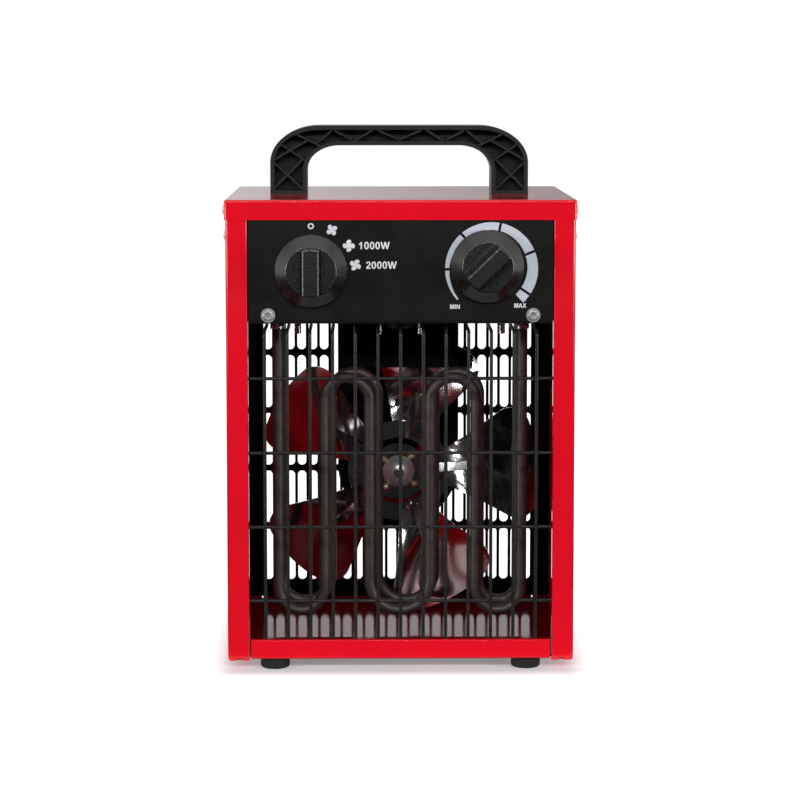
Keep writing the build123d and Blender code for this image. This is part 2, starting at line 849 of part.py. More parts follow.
# Motor bracket: a plate that hangs from the deck and ends in a half circle round the motor
fan_axis = Axis((0, fan_y, fan_height), (0, 1, 0))
motor_screw_places = [
    (
        motor_screw_circle * math.sin(math.radians(360 / motor_screw_count * turn)),
        motor_screw_circle * math.cos(math.radians(360 / motor_screw_count * turn)),
    )
    for turn in range(motor_screw_count)
]
with BuildPart() as motor_bracket:
    with BuildSketch(Plane.YZ):
        with BuildLine():
            bracket_points = [
                (bracket_y, fan_height),
                (bracket_y, deck_z),
                (bracket_y + bracket_flange, deck_z),
            ]
            FilletPolyline(*bracket_points, radius=bracket_bend)
            offset(amount=bracket_sheet, side=Side.RIGHT)
        make_face()
    extrude(amount=bracket_half_width, both=True)
    with BuildSketch(facing(bracket_y, 0, fan_height)):
        Circle(bracket_half_width)
    extrude(amount=-bracket_sheet)
    with BuildSketch(facing(bracket_y, 0, fan_height)):
        Circle(bracket_hole_radius)
        with Locations(*motor_screw_places):
            Circle(small_screw_radius + hole_clear)
    extrude(amount=-bracket_sheet, mode=Mode.SUBTRACT)
    with BuildSketch(Plane.XY.offset(deck_z)):
        with Locations(*bracket_bolt_places):
            Circle(hanging_bolt_radius + hole_clear)
    extrude(amount=-bracket_sheet, mode=Mode.SUBTRACT)
save(motor_bracket, "motor_bracket")

# Shield: a plate that hangs from the deck between the rear element and the fan
with BuildPart() as heat_shield:
    with BuildSketch(Plane.YZ):
        with BuildLine():
            shield_points = [
                (shield_y, deck_z - shield_drop),
                (shield_y, deck_z),
                (shield_y + shield_flange, deck_z),
            ]
            FilletPolyline(*shield_points, radius=bracket_bend)
            offset(amount=bracket_sheet, side=Side.RIGHT)
        make_face()
    extrude(amount=shield_half_width, both=True)
    with BuildSketch(Plane.XY.offset(deck_z)):
        with Locations(*bracket_bolt_places):
            Circle(hanging_bolt_radius + hole_clear)
    extrude(amount=-bracket_sheet, mode=Mode.SUBTRACT)
save(heat_shield, "heat_shield")

bracket_bolt = bolt(hanging_nut_width, hanging_nut_height, hanging_bolt_radius, hanging_bolt_drop)
save_group("bracket_bolts", bracket_bolt, [Location((x, y, deck_top_z)) for x, y in bracket_bolt_places])
bracket_nut_z = deck_z - bracket_sheet - hanging_nut_height
save_group("bracket_nuts", hanging_nut, [Location((x, y, bracket_nut_z)) for x, y in bracket_bolt_places])

# Motor: an end plate and a can round the stator, with a bush at each end for the shaft
boss_radius = bearing_radius + bearing_wall
with BuildPart() as motor_cover:
    with BuildSketch(facing(motor_front_y, 0, fan_height)):
        Circle(motor_radius)
        with Locations(*motor_screw_places):
            Circle(small_screw_radius, mode=Mode.SUBTRACT)
    extrude(amount=-motor_cover_sheet)
    with BuildSketch(facing(motor_front_y, 0, fan_height)):
        Circle(boss_radius)
    extrude(amount=-bearing_length)
    with BuildSketch(facing(motor_front_y, 0, fan_height)):
        Circle(bearing_radius)
    extrude(amount=-bearing_length, mode=Mode.SUBTRACT)
save(motor_cover, "motor_cover")

with BuildPart() as motor_can:
    with BuildSketch(facing(can_front_y, 0, fan_height)):
        Circle(motor_radius)
    extrude(amount=-motor_length)
    fillet(motor_can.edges().group_by(Axis.Y)[-1], radius=bracket_bend)
    offset(amount=-motor_wall, openings=[motor_can.faces().sort_by(Axis.Y)[0]])
    with BuildSketch(facing(motor_back_y, 0, fan_height)):
        Circle(boss_radius)
    extrude(amount=bearing_length)
    with BuildSketch(facing(motor_back_y, 0, fan_height)):
        Circle(bearing_radius)
    extrude(amount=bearing_length, mode=Mode.SUBTRACT)
    with BuildSketch(facing(motor_back_y, 0, fan_height)):
        with PolarLocations(motor_vent_circle, motor_vent_count):
            Circle(motor_vent_radius)
    extrude(amount=motor_wall, mode=Mode.SUBTRACT)
save(motor_can, "motor_can")


def tube(outer, inner, front, length, name):
    """A plain ring on the fan's axis, from its front face to the rear."""
    with BuildPart() as ring:
        with BuildSketch(facing(front, 0, fan_height)):
            Circle(outer)
            Circle(inner, mode=Mode.SUBTRACT)
        extrude(amount=-length)
    save(ring, name)


bush_bore = shaft_radius + running_gap
rear_bush_y = motor_back_y - bearing_length
tube(bearing_radius, bush_bore, motor_front_y, bearing_length, "front_bush")
tube(bearing_radius, bush_bore, rear_bush_y, bearing_length, "rear_bush")
stator_outer = motor_radius - motor_wall - stator_inset
stator_inner = rotor_radius + air_gap
stator_y = (can_front_y + motor_back_y - motor_wall - stator_length) / 2
tube(stator_outer, stator_inner, stator_y, stator_length, "stator_core")
tube(rotor_radius, shaft_radius, stator_y, stator_length, "rotor")

with BuildPart() as stator_windings:
    for winding_y in (stator_y - winding_length, stator_y + stator_length):
        with BuildSketch(facing(winding_y, 0, fan_height)):
            Circle(stator_outer - winding_outer_margin)
            Circle(stator_inner + winding_inner_margin, mode=Mode.SUBTRACT)
        extrude(amount=-winding_length)
save(stator_windings, "stator_windings")

motor_screws_places = [looking(x, bracket_y, fan_height + z, (0, -1, 0)) for x, z in motor_screw_places]
motor_screw_radius = small_screw_radius - hole_clear / 2
motor_screw_length = bracket_sheet + motor_cover_sheet
motor_screw = screw(small_screw_head, small_screw_rise, motor_screw_radius, motor_screw_length)
save_group("motor_screws", motor_screw, motor_screws_places)

# Fan: five twisted blades and a stepped centre pressed from one sheet
blade_neck_radius = fan_radius * blade_neck_share
blade_waist_radius = fan_radius * blade_waist_share
with BuildPart() as blade:
    blade_sections = [
        (blade_root_radius, blade_root_chord, 0),
        (blade_neck_radius, fan_radius * blade_neck_chord_share, blade_neck_twist),
        (blade_waist_radius, fan_radius * blade_waist_chord_share, blade_waist_twist),
        (fan_radius + overrun, fan_radius * blade_tip_chord_share, blade_tip_twist),
    ]
    for radius, chord, twist in blade_sections:
        lean = math.radians(twist)
        chord_dir = (0, math.sin(lean), math.cos(lean))
        with BuildSketch(Plane(origin=(radius, fan_y, fan_height), x_dir=chord_dir, z_dir=(1, 0, 0))):
            Rectangle(chord, blade_sheet)
    loft()
    blade_reach = fan_radius * blade_span_share
    with BuildSketch(facing(fan_y + blade_reach, 0, fan_height)) as outline:
        with BuildLine():
            edge_points = [
                (blade_root_radius, blade_root_half_angle),
                (blade_waist_radius, blade_waist_half_angle),
                (fan_radius, blade_half_angle),
            ]
            rights = [Vector(r, 0).rotate(Axis.Z, a) for r, a in edge_points]
            rights = [(point.X, point.Y) for point in rights]
            lefts = [(x, -z) for x, z in reversed(rights)]
            Polyline(*rights)
            ThreePointArc(rights[-1], (fan_radius, 0), lefts[0])
            Polyline(*lefts)
            Line(lefts[-1], rights[0])
        make_face()
        fillet(outline.vertices().sort_by(Axis.X)[-2:], radius=fan_radius * blade_corner_share)
    extrude(amount=2 * blade_reach, mode=Mode.INTERSECT)
    neck_lean = math.radians(blade_neck_twist)
    neck_face = (0, -math.cos(neck_lean), math.sin(neck_lean))
    rib_seat = (fan_radius * rib_centre_share, fan_y, fan_height)
    rib_plane = Plane(origin=rib_seat, x_dir=(1, 0, 0), z_dir=neck_face)
    with BuildSketch(rib_plane.offset(-blade_sheet / 2)):
        SlotOverall(fan_radius * rib_length_share, rib_width)
    extrude(amount=blade_sheet + rib_height, taper=rib_taper)

with BuildPart() as fan_blades:
    with BuildSketch(facing(fan_y, 0, fan_height)):
        Circle(spider_radius)
        Circle(step_radius - spider_sheet, mode=Mode.SUBTRACT)
    extrude(amount=spider_sheet / 2, both=True)
    for turn in range(blade_count):
        angle = blade_first_angle + 360 / blade_count * turn
        add(blade.part.rotate(fan_axis, -angle))
    plateau_y = fan_y - plateau_rise
    with BuildSketch(Plane.YZ):
        with BuildLine():
            step_points = [
                (fan_y - spider_sheet / 2, fan_height + step_radius + spider_sheet),
                (fan_y - spider_sheet / 2, fan_height + step_radius),
                (plateau_y - spider_sheet / 2, fan_height + plateau_radius),
                (plateau_y - spider_sheet / 2, fan_height + shaft_radius + shaft_fit),
                (plateau_y + spider_sheet / 2, fan_height + shaft_radius + shaft_fit),
                (plateau_y + spider_sheet / 2, fan_height + plateau_radius - spider_sheet / 2),
                (fan_y + spider_sheet / 2, fan_height + step_radius - spider_sheet / 2),
                (fan_y + spider_sheet / 2, fan_height + step_radius + spider_sheet),
            ]
            Polyline(*step_points, close=True)
        make_face()
    revolve(axis=fan_axis)
    with BuildSketch(facing(plateau_y, 0, fan_height)):
        with PolarLocations(rivet_circle, rivet_count, start_angle=rivet_first_angle):
            Circle(rivet_radius)
    extrude(amount=spider_sheet, both=True, mode=Mode.SUBTRACT)
save(fan_blades, "fan_blades")

# Hub behind the fan's centre, riveted to it and pressed on the shaft
hub_front_y = plateau_y + spider_sheet / 2
plateau_front_y = plateau_y - spider_sheet / 2
with BuildPart() as fan_hub:
    with BuildSketch(facing(hub_front_y, 0, fan_height)):
        Circle(hub_flange_radius)
        with PolarLocations(rivet_circle, rivet_count, start_angle=rivet_first_angle):
            Circle(rivet_radius, mode=Mode.SUBTRACT)
    extrude(amount=-hub_flange)
    with BuildSketch(facing(hub_front_y, 0, fan_height)):
        Circle(hub_radius)
    extrude(amount=-hub_length)
    with BuildSketch(facing(hub_front_y, 0, fan_height)):
        Circle(shaft_radius)
    extrude(amount=-hub_length, mode=Mode.SUBTRACT)
save(fan_hub, "fan_hub")

rivet = screw(rivet_head_radius, rivet_head_height, rivet_radius, spider_sheet + hub_flange)
rivet_places = [
    looking(
        rivet_circle * math.cos(math.radians(rivet_first_angle + 360 / rivet_count * turn)),
        plateau_front_y,
        fan_height + rivet_circle * math.sin(math.radians(rivet_first_angle + 360 / rivet_count * turn)),
        (0, -1, 0),
    )
    for turn in range(rivet_count)
]
save_group("fan_rivets", rivet, rivet_places)

with BuildPart() as fan_cap:
    with BuildSketch(Plane.YZ):
        with BuildLine():
            cap_bore = shaft_radius + shaft_fit
            cap_side, cap_rise = dome_middle(fan_cap_radius, fan_cap_height)
            cap_top_y = plateau_front_y - fan_cap_height
            Line((plateau_front_y, fan_height), (plateau_front_y, fan_height + fan_cap_radius))
            ThreePointArc(
                (plateau_front_y, fan_height + fan_cap_radius),
                (plateau_front_y - cap_rise, fan_height + cap_side),
                (cap_top_y, fan_height),
            )
            Line((cap_top_y, fan_height), (plateau_front_y, fan_height))
        make_face()
    revolve(axis=fan_axis)
    with BuildSketch(facing(plateau_front_y, 0, fan_height)):
        Circle(cap_bore)
    extrude(amount=fan_cap_height + overrun, mode=Mode.SUBTRACT)
save(fan_cap, "fan_cap")

with BuildPart() as motor_shaft:
    shaft_front_y = cap_top_y - shaft_nose
    shaft_back_y = motor_back_y - motor_wall
    with BuildSketch(facing(shaft_front_y, 0, fan_height)):
        Circle(shaft_radius)
    extrude(amount=shaft_front_y - shaft_back_y)
    fillet(motor_shaft.edges().group_by(Axis.Y)[0], radius=shaft_nose / 2)
save(motor_shaft, "motor_shaft")

# Knobs: one round body with a raised grip and a ridge on each side of it
knob_height = knob_proud - knob_gap
knob_top = knob_rim + knob_cone
with BuildPart() as knob:
    with BuildSketch(Plane.XZ):
        with BuildLine():
            Polyline(
                (0, 0),
                (knob_radius, 0),
                (knob_radius, knob_rim),
                (knob_top_radius, knob_top),
                (0, knob_top),
                close=True,
            )
        make_face()
    revolve(axis=Axis.Z)
    rim_edges = knob.edges().filter_by(GeomType.CIRCLE).sort_by(Axis.Z)
    fillet(rim_edges[1:], radius=grip_round / 2)
    with BuildSketch(Plane.XY.offset(knob_rim)):
        Circle(grip_length / 2)
        Rectangle(grip_width, grip_length, mode=Mode.INTERSECT)
    extrude(amount=knob_height - knob_rim)
    fillet(knob.faces().sort_by(Axis.Z)[-1].edges(), radius=grip_round)
    with BuildSketch(Plane.XY.offset(knob_rim)):
        ridge_x = grip_width / 2 + ridge_gap + ridge_width / 2
        with Locations((-ridge_x, 0), (ridge_x, 0)):
            Rectangle(ridge_width, ridge_length)
    extrude(amount=knob_cone + ridge_height)
    with BuildSketch(Plane.XZ):
        with BuildLine():
            Polyline(
                (knob_post_radius, 0),
                (knob_radius - knob_wall, 0),
                (knob_radius - knob_wall, knob_rim / 2),
                (knob_top_radius - knob_wall / 2, knob_top - knob_wall),
                (knob_post_radius, knob_top - knob_wall),
                close=True,
            )
        make_face()
    revolve(axis=Axis.Z, mode=Mode.SUBTRACT)
    with BuildSketch():
        Circle(control_shaft_radius + shaft_fit)
        with Locations((0, control_shaft_radius - shaft_flat / 2 + shaft_fit)):
            Rectangle(2 * knob_post_radius, shaft_flat, mode=Mode.SUBTRACT)
    extrude(amount=knob_bore_depth, mode=Mode.SUBTRACT)

# A control's shaft, from its seat behind the panel into the knob, flat where the knob grips it
with BuildPart() as control_shaft:
    seat = knob_gap + panel_sheet + shaft_seat
    with BuildSketch(Plane.XY.offset(-seat)):
        Circle(control_shaft_radius)
    extrude(amount=seat + knob_bore_depth - slide_gap)
    with BuildSketch():
        with Locations((0, control_shaft_radius - shaft_flat / 2)):
            Rectangle(2 * knob_post_radius, shaft_flat)
    extrude(amount=knob_bore_depth, mode=Mode.SUBTRACT)

selector_seat = facing(front_y - knob_gap, selector_x, selector_z).location
thermostat_seat = facing(front_y - knob_gap, thermostat_x, thermostat_z).location
thermostat_seat = thermostat_seat * Rotation(0, 0, -thermostat_turn)
save_group("selector_knob", knob.part, [selector_seat])
save_group("selector_shaft", control_shaft.part, [selector_seat])
save_group("thermostat_knob", knob.part, [thermostat_seat])
save_group("thermostat_shaft", control_shaft.part, [thermostat_seat])

# Bush of a control, and the blind hole for its shaft, both from the panel's front face
control_back_y = front_y + panel_sheet
with BuildPart() as control_bush:
    with BuildSketch():
        Circle(bush_radius)
    extrude(amount=-panel_sheet)
with BuildPart() as control_bore:
    with BuildSketch():
        Circle(control_shaft_radius + running_gap)
    extrude(amount=-panel_sheet - shaft_seat - slide_gap)
    with BuildSketch(Plane.XY.offset(-panel_sheet)):
        with Locations((0, -control_screw_spread), (0, control_screw_spread)):
            Circle(small_screw_radius)
    extrude(amount=-small_screw_length)

# Selector switch, with its row of tabs, and thermostat, with its pair of contact blades
selector_front = facing(front_y, selector_x, selector_z).location
with BuildPart() as selector_switch:
    with BuildSketch(facing(control_back_y, selector_x, selector_z)):
        Rectangle(switch_width, switch_width)
    extrude(amount=-switch_depth)
    with BuildSketch(facing(control_back_y + switch_depth, selector_x, selector_z)):
        with GridLocations(switch_tab_pitch, switch_tab_pitch, switch_tab_count, 1):
            Rectangle(switch_tab_sheet, switch_tab_width)
    extrude(amount=-switch_tab_height)
    add(control_bush.part.moved(selector_front))
    add(control_bore.part.moved(selector_front), mode=Mode.SUBTRACT)
save(selector_switch, "selector_switch")

thermostat_front = facing(front_y, thermostat_x, thermostat_z).location
with BuildPart() as thermostat_body:
    with BuildSketch(facing(control_back_y, thermostat_x, thermostat_z)):
        RectangleRounded(thermostat_width, switch_width, thermostat_corner)
    extrude(amount=-thermostat_depth)
    add(control_bush.part.moved(thermostat_front))
    add(control_bore.part.moved(thermostat_front), mode=Mode.SUBTRACT)
save(thermostat_body, "thermostat_body")

blades_y = control_back_y + thermostat_depth
with BuildPart() as thermostat_blades:
    for step in range(2):
        with BuildSketch(facing(blades_y + step * thermostat_post / 2, thermostat_x, thermostat_z)):
            Rectangle(thermostat_blade_width, thermostat_blade_length)
        extrude(amount=-thermostat_blade_sheet)
    with BuildSketch(facing(blades_y, thermostat_x, thermostat_z - thermostat_blade_length / 2)):
        with Locations((0, thermostat_post / 2)):
            Rectangle(thermostat_post, thermostat_post)
    extrude(amount=-thermostat_post)
save(thermostat_blades, "thermostat_blades")

control_shank = small_screw_radius - sleeve_fit
control_screw = screw(small_screw_head, small_screw_rise, control_shank, small_screw_length)
control_screw_seats = [looking(x, front_y, z, (0, -1, 0)) for x, z in control_screw_places]
save_group("control_screws", control_screw, control_screw_seats)

# Screws of the control panel: a round head on a flange, with a six-sided recess
with BuildPart() as panel_screw:
    with BuildSketch():
        Circle(panel_screw_head)
    extrude(amount=panel_screw_flange)
    with BuildSketch():
        Circle(panel_screw_crown)
    extrude(amount=panel_screw_rise)
    fillet(panel_screw.edges().group_by(Axis.Z)[-1], radius=panel_screw_round)
    with BuildSketch():
        Circle(panel_screw_radius)
    extrude(amount=-panel_screw_length)
    with BuildSketch(Plane.XY.offset(panel_screw_rise)):
        RegularPolygon(panel_recess_width / 2, hex_sides, major_radius=False)
    extrude(amount=-panel_recess_depth, mode=Mode.SUBTRACT)
panel_screw_seats = [looking(x, front_y, z, (0, -1, 0)) for x, z in panel_screw_places]
save_group("panel_screws", panel_screw.part, panel_screw_seats)

# Screws of the case's sides and rear

case_places = []
for hand in (-1, 1):
    for y in screw_ys:
        case_places.append(looking(hand * (side_x + cover_sheet), y, cover_screw_z, (hand, 0, 0)))
        case_places.append(looking(hand * side_x, y, side_screw_z, (hand, 0, 0)))
save_group("case_screws", case_screw, case_places)

rear_places = []
for x in (-rear_screw_x, rear_screw_x):
    for z in rear_screw_zs:
        rear_places.append(looking(x, rear_y, z, (0, 1, 0)))
save_group("rear_screws", case_screw, rear_places)

with BuildPart() as side_rivet:
    with BuildSketch(Plane.YZ.offset(side_x)):
        with Locations((side_rivet_y, side_rivet_z)):
            Circle(side_rivet_head)
    extrude(amount=side_rivet_rise)
    with BuildSketch(Plane.YZ.offset(side_x)):
        with Locations((side_rivet_y, side_rivet_z)):
            Circle(rivet_radius - sleeve_fit)
    extrude(amount=-overrun)
    fillet(side_rivet.edges().group_by(Axis.X)[-1], radius=side_rivet_rise / 2)
save(side_rivet, "side_rivet")


# Handle: two rims joined by a web, with ribs between them on both faces
def handle_loop(half_width, top, corner_width, corner_height, foot):
    """A closed loop with flat sides, a flat top and elliptical upper corners."""
    corner_z = top - corner_height
    corner_x = half_width - corner_width
    Line((-half_width, foot), (-half_width, corner_z))
    EllipticalCenterArc((-corner_x, corner_z), corner_width, corner_height, start_angle=90)
    Line((-corner_x, top), (corner_x, top))
    EllipticalCenterArc((corner_x, corner_z), corner_width, corner_height, start_angle=0)
    Line((half_width, corner_z), (half_width, foot))
    Line((half_width, foot), (-half_width, foot))


def handle_face(inset, foot):
    """The handle's front face, drawn in by the inset and cut off at the foot."""
    with BuildSketch() as face:
        with BuildLine():
            handle_loop(
                handle_width / 2 - inset,
                handle_height - inset,
                handle_corner_width - inset,
                handle_corner_height - inset,
                foot,
            )
        make_face()
        with BuildLine():
            handle_loop(
                handle_width / 2 - handle_leg + inset,
                handle_height - handle_bar + inset,
                handle_inner_corner_width + inset,
                handle_inner_corner_height + inset,
                foot,
            )
        make_face(mode=Mode.SUBTRACT)
    return face.sketch


# Ends of the ribs, as shares of the handle's half width and of its height, from the middle outwards
rib_shares = [
    ((0.01, 0.80), (0.155, 0.92)),
    ((0.22, 0.92), (0.33, 0.79)),
    ((0.375, 0.80), (0.49, 0.915)),
    ((0.535, 0.905), (0.635, 0.75)),
    ((0.62, 0.71), (0.80, 0.875)),
    ((0.715, 0.78), (0.985, 0.48)),
    ((0.74, 0.50), (0.95, 0.77)),
    ((0.755, 0.08), (0.965, 0.45)),
    ((0.97, 0.08), (0.765, 0.47)),
]
handle_front_y = mid_y - handle_depth / 2
handle_pocket = (handle_depth - handle_web) / 2
handle_outline = handle_face(0, 0)
pocket_outline = handle_face(handle_rim, handle_base_wall)
rib_outline = handle_face(handle_rim / 2, handle_base_wall / 2)
pockets = [(handle_front_y, -handle_pocket), (handle_front_y + handle_depth, handle_pocket)]
with BuildPart() as handle:
    with BuildSketch(facing(handle_front_y, 0, top_z)):
        add(handle_outline)
    extrude(amount=-handle_depth)
    for pocket_y, depth in pockets:
        with BuildSketch(facing(pocket_y, 0, top_z)):
            add(pocket_outline)
        extrude(amount=depth, mode=Mode.SUBTRACT)
    with BuildSketch(facing(handle_front_y + handle_rib_recess, 0, top_z)):
        for start, stop in rib_shares:
            for hand in (-1, 1):
                ends = [(hand * x * handle_width / 2, z * handle_height) for x, z in (start, stop)]
                run = Vector(*ends[1]) - Vector(*ends[0])
                middle = (Vector(*ends[1]) + Vector(*ends[0])) / 2
                slant = math.degrees(math.atan2(run.Y, run.X))
                with Locations((middle.X, middle.Y)):
                    SlotOverall(run.length + handle_rim, handle_rib, rotation=slant)
        add(rib_outline, mode=Mode.INTERSECT)
    extrude(amount=2 * handle_rib_recess - handle_depth)
    with BuildSketch(Plane.XY.offset(top_z)):
        with Locations((-handle_leg_x, mid_y), (handle_leg_x, mid_y)):
            Circle(handle_screw_radius)
    extrude(amount=handle_screw_length, mode=Mode.SUBTRACT)
save(handle, "handle")

handle_shank = handle_screw_length - slide_gap
handle_screw = screw(handle_screw_head, handle_screw_rise, handle_screw_radius, handle_shank)
handle_screw_z = top_z - cover_sheet
handle_screw_places = [looking(x, mid_y, handle_screw_z, (0, 0, -1)) for x in (-handle_leg_x, handle_leg_x)]
save_group("handle_screws", handle_screw, handle_screw_places)

# Feet: rubber buttons under the floor panel, each held by a screw from below
foot_names = ["foot_front_left", "foot_front_right", "foot_rear_left", "foot_rear_right"]
for name, (x, y) in zip(foot_names, foot_places):
    with BuildPart() as foot:
        with BuildSketch():
            with Locations((x, y)):
                Circle(foot_radius)
        extrude(amount=floor_z)
        fillet(foot.edges().group_by(Axis.Z)[0], radius=foot_round)
        with BuildSketch():
            with Locations((x, y)):
                Circle(foot_recess_radius)
        extrude(amount=foot_recess_depth, mode=Mode.SUBTRACT)
        with BuildSketch():
            with Locations((x, y)):
                Circle(case_hole)
        extrude(amount=floor_z, mode=Mode.SUBTRACT)
    save(foot, name)

foot_screw = screw(foot_screw_head, foot_screw_rise, case_screw_radius, foot_screw_length)
foot_screw_places = [looking(x, y, foot_recess_depth, (0, 0, -1)) for x, y in foot_places]
save_group("foot_screws", foot_screw, foot_screw_places)

# Cable gland in the rear panel, its nut, and the terminal block on the deck
with BuildPart() as cable_gland:
    with BuildSketch(facing(rear_inner_y, gland_x, gland_z)):
        Circle(gland_radius)
    extrude(amount=-gland_proud)
    fillet(cable_gland.edges().group_by(Axis.Y)[-1], radius=gland_round)
    with BuildSketch(facing(rear_inner_y, gland_x, gland_z)):
        Circle(gland_neck_radius)
    extrude(amount=gland_neck_length)
    with BuildSketch(facing(rear_inner_y + gland_proud, gland_x, gland_z)):
        Circle(gland_bore_radius)
    extrude(amount=gland_proud + gland_neck_length, mode=Mode.SUBTRACT)
save(cable_gland, "cable_gland")

gland_nut = hex_nut(gland_nut_width, gland_nut_height, gland_neck_radius + sleeve_fit)
save_group("gland_nut", gland_nut, [looking(gland_x, rear_skin_y, gland_z, (0, -1, 0))])

block_y = rear_inner_y - block_gap - block_depth / 2
pole_pitch = block_width / block_poles
pole_steps = [pole - (block_poles - 1) / 2 for pole in range(block_poles)]
pole_places = [(gland_x + step * pole_pitch, block_y) for step in pole_steps]
block_top_z = deck_top_z + block_height
with BuildPart() as terminal_block:
    with BuildSketch(Plane.XY.offset(deck_top_z)):
        with Locations((gland_x, block_y)):
            Rectangle(block_width, block_depth)
    extrude(amount=block_height)
    with BuildSketch(Plane.XY.offset(block_top_z)):
        with Locations(*pole_places):
            Circle(block_screw_radius)
    extrude(amount=-block_screw_height, mode=Mode.SUBTRACT)
save(terminal_block, "terminal_block")

block_screw = screw(block_screw_radius - sleeve_fit, small_screw_rise, small_screw_radius, small_screw_rise)
block_screw_z = block_top_z - block_screw_height + small_screw_rise
save_group("terminal_screws", block_screw, [Location((x, y, block_screw_z)) for x, y in pole_places])
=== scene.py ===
import math

import bmesh
import bpy
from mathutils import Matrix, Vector


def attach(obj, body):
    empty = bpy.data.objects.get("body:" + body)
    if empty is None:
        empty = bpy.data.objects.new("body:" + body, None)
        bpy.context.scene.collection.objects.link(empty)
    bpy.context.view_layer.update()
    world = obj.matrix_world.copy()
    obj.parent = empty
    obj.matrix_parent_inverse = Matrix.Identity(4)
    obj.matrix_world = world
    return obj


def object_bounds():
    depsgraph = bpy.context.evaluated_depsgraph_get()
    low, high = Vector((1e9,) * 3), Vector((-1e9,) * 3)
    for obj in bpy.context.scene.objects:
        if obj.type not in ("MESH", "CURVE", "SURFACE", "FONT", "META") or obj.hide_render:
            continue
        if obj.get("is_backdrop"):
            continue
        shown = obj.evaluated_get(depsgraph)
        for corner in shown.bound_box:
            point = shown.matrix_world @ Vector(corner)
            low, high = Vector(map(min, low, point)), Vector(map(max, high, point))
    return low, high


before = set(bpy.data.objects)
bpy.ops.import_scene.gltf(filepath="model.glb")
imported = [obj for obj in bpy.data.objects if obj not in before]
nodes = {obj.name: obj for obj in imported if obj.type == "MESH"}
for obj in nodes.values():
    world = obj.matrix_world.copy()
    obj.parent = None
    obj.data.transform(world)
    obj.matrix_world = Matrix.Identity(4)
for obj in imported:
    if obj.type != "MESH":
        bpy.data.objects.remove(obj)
cad_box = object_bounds()

scene = bpy.context.scene
sides = (("left", -1), ("right", 1))
white = (1, 1, 1, 1)

# Boxes of the part, each as its centre and half its size, and how soft their edges are.
# Painted shade: inside this box the red enamel is painted darker, for the dim light within the case.
case_inside = ((0.0, 0.0055, 0.1565), (0.0996, 0.0821, 0.1500))
# Painted shade: inside this box the handle's recessed web is painted darker.
handle_web = ((0.0, 0.0055, 0.295), (0.080, 0.0034, 0.040))
box_edge = 0.0003

# The part of the noise's range in which a surface changes, and the same for how squarely a surface faces.
noise_edges = (0.3, 0.7)
facing_edges = (0.8, 0.95)


def feed(tree, socket, value):
    """Link an input to another node's output, or set it to a constant."""
    if isinstance(value, bpy.types.NodeSocket):
        tree.links.new(value, socket)
    else:
        socket.default_value = value


def fill(tree, node, **inputs):
    """Feed a node's inputs. An input called From Min is given as from_min."""
    for name, value in inputs.items():
        feed(tree, node.inputs[name.replace("_", " ").title().replace("Ior", "IOR")], value)
    return node


def calculate(tree, kind, operation, operands):
    """A node of an arithmetic kind, with its inputs fed in their order."""
    node = tree.nodes.new(kind)
    node.operation = operation
    for socket, operand in zip(node.inputs, operands):
        feed(tree, socket, operand)
    return node


def number(tree, operation, *operands):
    return calculate(tree, "ShaderNodeMath", operation, operands).outputs["Value"]


def vector(tree, operation, *operands, result="Vector"):
    return calculate(tree, "ShaderNodeVectorMath", operation, operands).outputs[result]


def seen_rays(tree):
    """1 for camera, glossy and transmission rays."""
    path = tree.nodes.new("ShaderNodeLightPath").outputs
    mirrored = number(tree, "MAXIMUM", path["Is Camera Ray"], path["Is Glossy Ray"])
    return number(tree, "MAXIMUM", mirrored, path["Is Transmission Ray"])


def shade(colour, share):
    return tuple(min(1.0, channel * share) for channel in colour)


